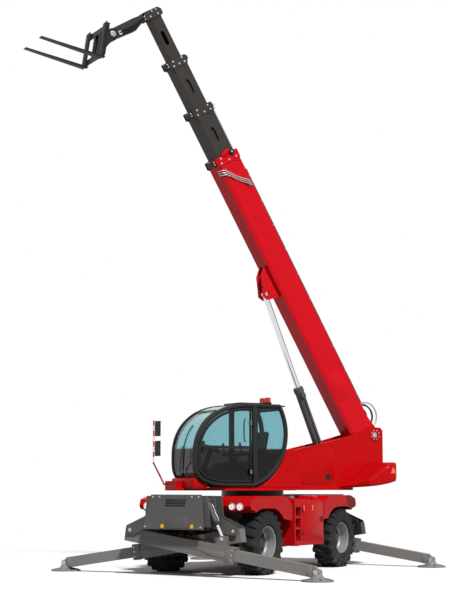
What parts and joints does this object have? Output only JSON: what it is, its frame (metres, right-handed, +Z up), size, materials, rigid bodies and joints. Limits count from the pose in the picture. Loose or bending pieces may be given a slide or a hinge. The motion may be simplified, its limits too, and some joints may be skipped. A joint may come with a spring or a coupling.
{
  "type": "slewing telehandler",
  "caption": "Slewing telehandler: wheeled chassis on splayed stabilisers, turret with bubble cab, telescopic boom raised and part extended, pallet forks at its head.",
  "frame": {"origin": "middle of the outline on the ground, under the machine", "axes": "+X forward under the boom, +Y to the left of the boom, +Z up; the chassis stands turned to the left under the turret"},
  "size_m": [8.2903, 7.8492, 10.8537],
  "materials": {
    "red_paint": "gloss red enamel",
    "dark_paint": "satin dark grey enamel",
    "leg_paint": "satin grey enamel",
    "tyre_rubber": "matt rubber",
    "rim_paint": "silver grey enamel",
    "chrome_rod": "hard chrome",
    "tinted_glass": "blue tinted glass",
    "seat_vinyl": "black vinyl",
    "black_plastic": "grained black plastic",
    "lamp_lens": "clear lamp lens",
    "amber_lens": "amber lens",
    "engine_iron": "cast iron",
    "fork_steel": "worn dark steel"
  },
  "bodies": {
    "chassis": {"chassis_frame": "dark_paint", "front_guard": "dark_paint", "fenders": "red_paint", "tank_box": "red_paint", "engine_cover": "red_paint", "engine": "engine_iron", "chassis_lamps": "lamp_lens", "lamp_pods": "black_plastic", "slew_ring": "dark_paint", "front_axle": "dark_paint", "rear_axle": "dark_paint"},
    "turret": {"turret_frame": "red_paint", "turret_covers": "red_paint", "counterweight": "red_paint", "cab_frame": "dark_paint", "cab_glass": "tinted_glass", "operator_seat": "seat_vinyl", "console": "black_plastic", "beacons": "amber_lens", "mirrors": "dark_paint"},
    "door": {"cab_door": "dark_paint", "door_glass": "tinted_glass"},
    "boom_1": {"boom_1": "red_paint", "extension_barrel": "dark_paint"},
    "boom_2": {"boom_2": "dark_paint", "extension_rod": "chrome_rod"},
    "boom_3": {"boom_3": "dark_paint"},
    "boom_4": {"boom_4": "dark_paint"},
    "carriage": {"carriage": "dark_paint", "forks": "fork_steel"},
    "lift_barrel": {"lift_barrel": "dark_paint"},
    "lift_rod": {"lift_rod": "chrome_rod"},
    "knuckle_fl": {"knuckle_fl": "dark_paint"},
    "wheel_fl": {"tyre_fl": "tyre_rubber", "rim_fl": "rim_paint"},
    "leg_outer_fl": {"leg_outer_fl": "dark_paint"},
    "leg_inner_fl": {"leg_inner_fl": "leg_paint"},
    "jack_barrel_fl": {"jack_barrel_fl": "dark_paint"},
    "jack_rod_fl": {"jack_rod_fl": "chrome_rod"},
    "knuckle_fr": {"knuckle_fr": "dark_paint"},
    "wheel_fr": {"tyre_fr": "tyre_rubber", "rim_fr": "rim_paint"},
    "leg_outer_fr": {"leg_outer_fr": "dark_paint"},
    "leg_inner_fr": {"leg_inner_fr": "leg_paint"},
    "jack_barrel_fr": {"jack_barrel_fr": "dark_paint"},
    "jack_rod_fr": {"jack_rod_fr": "chrome_rod"},
    "knuckle_rl": {"knuckle_rl": "dark_paint"},
    "wheel_rl": {"tyre_rl": "tyre_rubber", "rim_rl": "rim_paint"},
    "leg_outer_rl": {"leg_outer_rl": "dark_paint"},
    "leg_inner_rl": {"leg_inner_rl": "leg_paint"},
    "jack_barrel_rl": {"jack_barrel_rl": "dark_paint"},
    "jack_rod_rl": {"jack_rod_rl": "chrome_rod"},
    "knuckle_rr": {"knuckle_rr": "dark_paint"},
    "wheel_rr": {"tyre_rr": "tyre_rubber", "rim_rr": "rim_paint"},
    "leg_outer_rr": {"leg_outer_rr": "dark_paint"},
    "leg_inner_rr": {"leg_inner_rr": "leg_paint"},
    "jack_barrel_rr": {"jack_barrel_rr": "dark_paint"},
    "jack_rod_rr": {"jack_rod_rr": "chrome_rod"}
  },
  "joints": [
    {"name": "slew", "type": "hinge", "parent": "chassis", "child": "turret", "pos_m": [-0.50562, 0, 1.5], "axis": [0, 0, 1], "continuous": true},
    {"name": "steer_fl", "type": "hinge", "parent": "chassis", "child": "knuckle_fl", "pos_m": [0.37091, 1.48179, 0.57], "axis": [0, 0, 1], "range_deg": [-30, 30]},
    {"name": "wheel_fl", "type": "hinge", "parent": "knuckle_fl", "child": "wheel_fl", "pos_m": [0.30091, 1.60303, 0.57], "axis": [-0.5, 0.866, 0], "continuous": true},
    {"name": "leg_swing_fl", "type": "hinge", "parent": "chassis", "child": "leg_outer_fl", "pos_m": [2.22872, 0.42397, 0.8], "axis": [-0.866, -0.5, 0], "range_deg": [-5.5, 3]},
    {"name": "leg_slide_fl", "type": "slide", "parent": "leg_outer_fl", "child": "leg_inner_fl", "axis": [-0.4945, 0.8564, -0.1484], "range_m": [-1.4, 0.15]},
    {"name": "jack_turn_fl", "type": "hinge", "parent": "chassis", "child": "jack_barrel_fl", "pos_m": [1.45372, 1.76631, 1.33], "axis": [-0.866, -0.5, 0], "range_deg": [-11, 6]},
    {"name": "jack_slide_fl", "type": "slide", "parent": "jack_barrel_fl", "child": "jack_rod_fl", "axis": [-0.2291, 0.3968, -0.8889], "range_m": [-0.25, 0.2]},
    {"name": "steer_fr", "type": "hinge", "parent": "chassis", "child": "knuckle_fr", "pos_m": [1.21591, 0.01821, 0.57], "axis": [0, 0, 1], "range_deg": [-30, 30]},
    {"name": "wheel_fr", "type": "hinge", "parent": "knuckle_fr", "child": "wheel_fr", "pos_m": [1.28591, -0.10304, 0.57], "axis": [-0.5, 0.866, 0], "continuous": true},
    {"name": "leg_swing_fr", "type": "hinge", "parent": "chassis", "child": "leg_outer_fr", "pos_m": [0.99922, 2.02352, 0.8], "axis": [0.866, 0.5, 0], "range_deg": [-5.5, 3]},
    {"name": "leg_slide_fr", "type": "slide", "parent": "leg_outer_fr", "child": "leg_inner_fr", "axis": [0.4945, -0.8564, -0.1484], "range_m": [-1.4, 0.15]},
    {"name": "jack_turn_fr", "type": "hinge", "parent": "chassis", "child": "jack_barrel_fr", "pos_m": [1.77422, 0.68119, 1.33], "axis": [0.866, 0.5, 0], "range_deg": [-11, 6]},
    {"name": "jack_slide_fr", "type": "slide", "parent": "jack_barrel_fr", "child": "jack_rod_fr", "axis": [0.2291, -0.3968, -0.8889], "range_m": [-0.25, 0.2]},
    {"name": "steer_rl", "type": "hinge", "parent": "chassis", "child": "knuckle_rl", "pos_m": [-2.22716, -0.01821, 0.57], "axis": [0, 0, 1], "range_deg": [-30, 30]},
    {"name": "wheel_rl", "type": "hinge", "parent": "knuckle_rl", "child": "wheel_rl", "pos_m": [-2.29716, 0.10304, 0.57], "axis": [-0.5, 0.866, 0], "continuous": true},
    {"name": "leg_swing_rl", "type": "hinge", "parent": "chassis", "child": "leg_outer_rl", "pos_m": [-2.01047, -2.02352, 0.8], "axis": [-0.866, -0.5, 0], "range_deg": [-5.5, 3]},
    {"name": "leg_slide_rl", "type": "slide", "parent": "leg_outer_rl", "child": "leg_inner_rl", "axis": [-0.4945, 0.8564, -0.1484], "range_m": [-1.4, 0.15]},
    {"name": "jack_turn_rl", "type": "hinge", "parent": "chassis", "child": "jack_barrel_rl", "pos_m": [-2.78547, -0.68119, 1.33], "axis": [-0.866, -0.5, 0], "range_deg": [-11, 6]},
    {"name": "jack_slide_rl", "type": "slide", "parent": "jack_barrel_rl", "child": "jack_rod_rl", "axis": [-0.2291, 0.3968, -0.8889], "range_m": [-0.25, 0.2]},
    {"name": "steer_rr", "type": "hinge", "parent": "chassis", "child": "knuckle_rr", "pos_m": [-1.38216, -1.48179, 0.57], "axis": [0, 0, 1], "range_deg": [-30, 30]},
    {"name": "wheel_rr", "type": "hinge", "parent": "knuckle_rr", "child": "wheel_rr", "pos_m": [-1.31216, -1.60303, 0.57], "axis": [-0.5, 0.866, 0], "continuous": true},
    {"name": "leg_swing_rr", "type": "hinge", "parent": "chassis", "child": "leg_outer_rr", "pos_m": [-3.23997, -0.42397, 0.8], "axis": [0.866, 0.5, 0], "range_deg": [-5.5, 3]},
    {"name": "leg_slide_rr", "type": "slide", "parent": "leg_outer_rr", "child": "leg_inner_rr", "axis": [0.4945, -0.8564, -0.1484], "range_m": [-1.4, 0.15]},
    {"name": "jack_turn_rr", "type": "hinge", "parent": "chassis", "child": "jack_barrel_rr", "pos_m": [-2.46497, -1.76631, 1.33], "axis": [0.866, 0.5, 0], "range_deg": [-11, 6]},
    {"name": "jack_slide_rr", "type": "slide", "parent": "jack_barrel_rr", "child": "jack_rod_rr", "axis": [0.2291, -0.3968, -0.8889], "range_m": [-0.25, 0.2]},
    {"name": "door", "type": "hinge", "parent": "turret", "child": "door", "pos_m": [0.13437, 1.167, 2], "axis": [0, 0, 1], "range_deg": [0, 100]},
    {"name": "boom_lift", "type": "hinge", "parent": "turret", "child": "boom_1", "pos_m": [-3.30563, -0.115, 2.61], "axis": [0, -1, 0], "range_deg": [-61, 12.5]},
    {"name": "lift_turn", "type": "hinge", "parent": "turret", "child": "lift_barrel", "pos_m": [-2.37562, -0.115, 1.72], "axis": [0, -1, 0], "range_deg": [-85, 30]},
    {"name": "lift_slide", "type": "slide", "parent": "lift_barrel", "child": "lift_rod", "axis": [0.3817, 0, 0.9243], "range_m": [-1.6, 0.5]},
    {"name": "boom_extend", "type": "slide", "parent": "boom_1", "child": "boom_2", "axis": [0.5075, 0, 0.8616], "range_m": [-0.85, 3.6]},
    {"name": "boom_extend_3", "type": "slide", "parent": "boom_2", "child": "boom_3", "axis": [0.5075, 0, 0.8616], "range_m": [-0.85, 3.6]},
    {"name": "boom_extend_4", "type": "slide", "parent": "boom_3", "child": "boom_4", "axis": [0.5075, 0, 0.8616], "range_m": [-0.85, 3.6]},
    {"name": "fork_tilt", "type": "hinge", "parent": "boom_4", "child": "carriage", "pos_m": [2.55195, -0.115, 10.15043], "axis": [0, 1, 0], "range_deg": [-64, 70]}
  ],
  "couplings": [
    {"joint": "jack_turn_fl", "follows": "leg_swing_fl", "ratio": 1.405},
    {"joint": "jack_slide_fl", "follows": "leg_swing_fl", "m_per_rad": 1.6},
    {"joint": "jack_turn_fr", "follows": "leg_swing_fr", "ratio": 1.405},
    {"joint": "jack_slide_fr", "follows": "leg_swing_fr", "m_per_rad": 1.6},
    {"joint": "jack_turn_rl", "follows": "leg_swing_rl", "ratio": 1.405},
    {"joint": "jack_slide_rl", "follows": "leg_swing_rl", "m_per_rad": 1.6},
    {"joint": "jack_turn_rr", "follows": "leg_swing_rr", "ratio": 1.405},
    {"joint": "jack_slide_rr", "follows": "leg_swing_rr", "m_per_rad": 1.6},
    {"joint": "steer_fr", "follows": "steer_fl", "ratio": 1},
    {"joint": "steer_rr", "follows": "steer_rl", "ratio": 1},
    {"joint": "lift_turn", "follows": "boom_lift", "ratio": 1.02},
    {"joint": "lift_slide", "follows": "boom_lift", "m_per_rad": 1.2},
    {"joint": "boom_extend_3", "follows": "boom_extend", "ratio": 1},
    {"joint": "boom_extend_4", "follows": "boom_extend", "ratio": 1}
  ]
}
